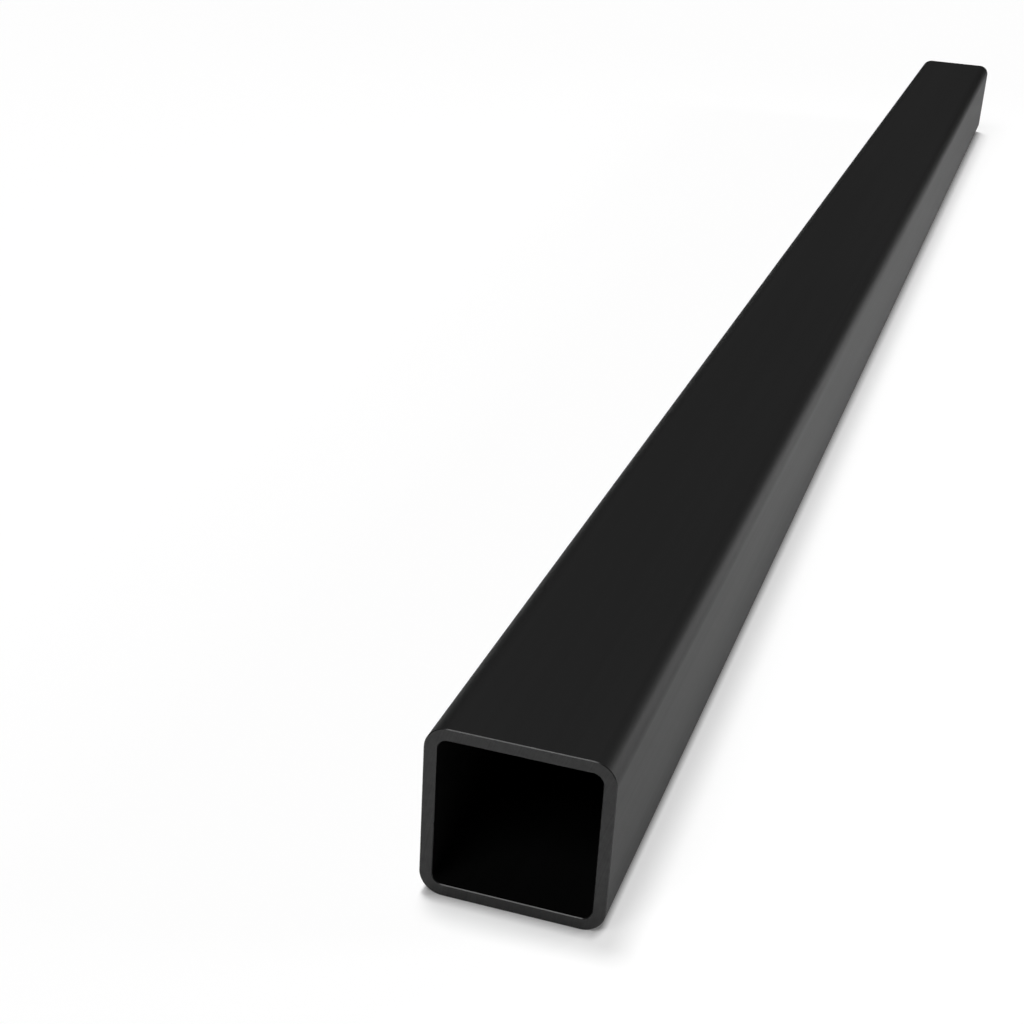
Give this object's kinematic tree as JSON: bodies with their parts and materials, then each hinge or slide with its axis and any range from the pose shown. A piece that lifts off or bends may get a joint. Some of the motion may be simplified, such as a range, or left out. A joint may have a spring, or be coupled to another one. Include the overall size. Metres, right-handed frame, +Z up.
{
  "type": "pvc box section",
  "caption": "Straight square box section in black rigid PVC: an extruded hollow length with an even wall, rounded long corners and square deburred ends.",
  "frame": {"origin": "middle of the base, on the surface the length lies on, halfway between its sawn ends and its sides", "axes": "+Y along the length, +X across the section, +Z up out of the base"},
  "size_m": [0.05, 1.1, 0.05],
  "materials": {
    "black_pvc": "satin, as extruded"
  },
  "bodies": {
    "root": {"box_section": "black_pvc"}
  },
  "joints": []
}
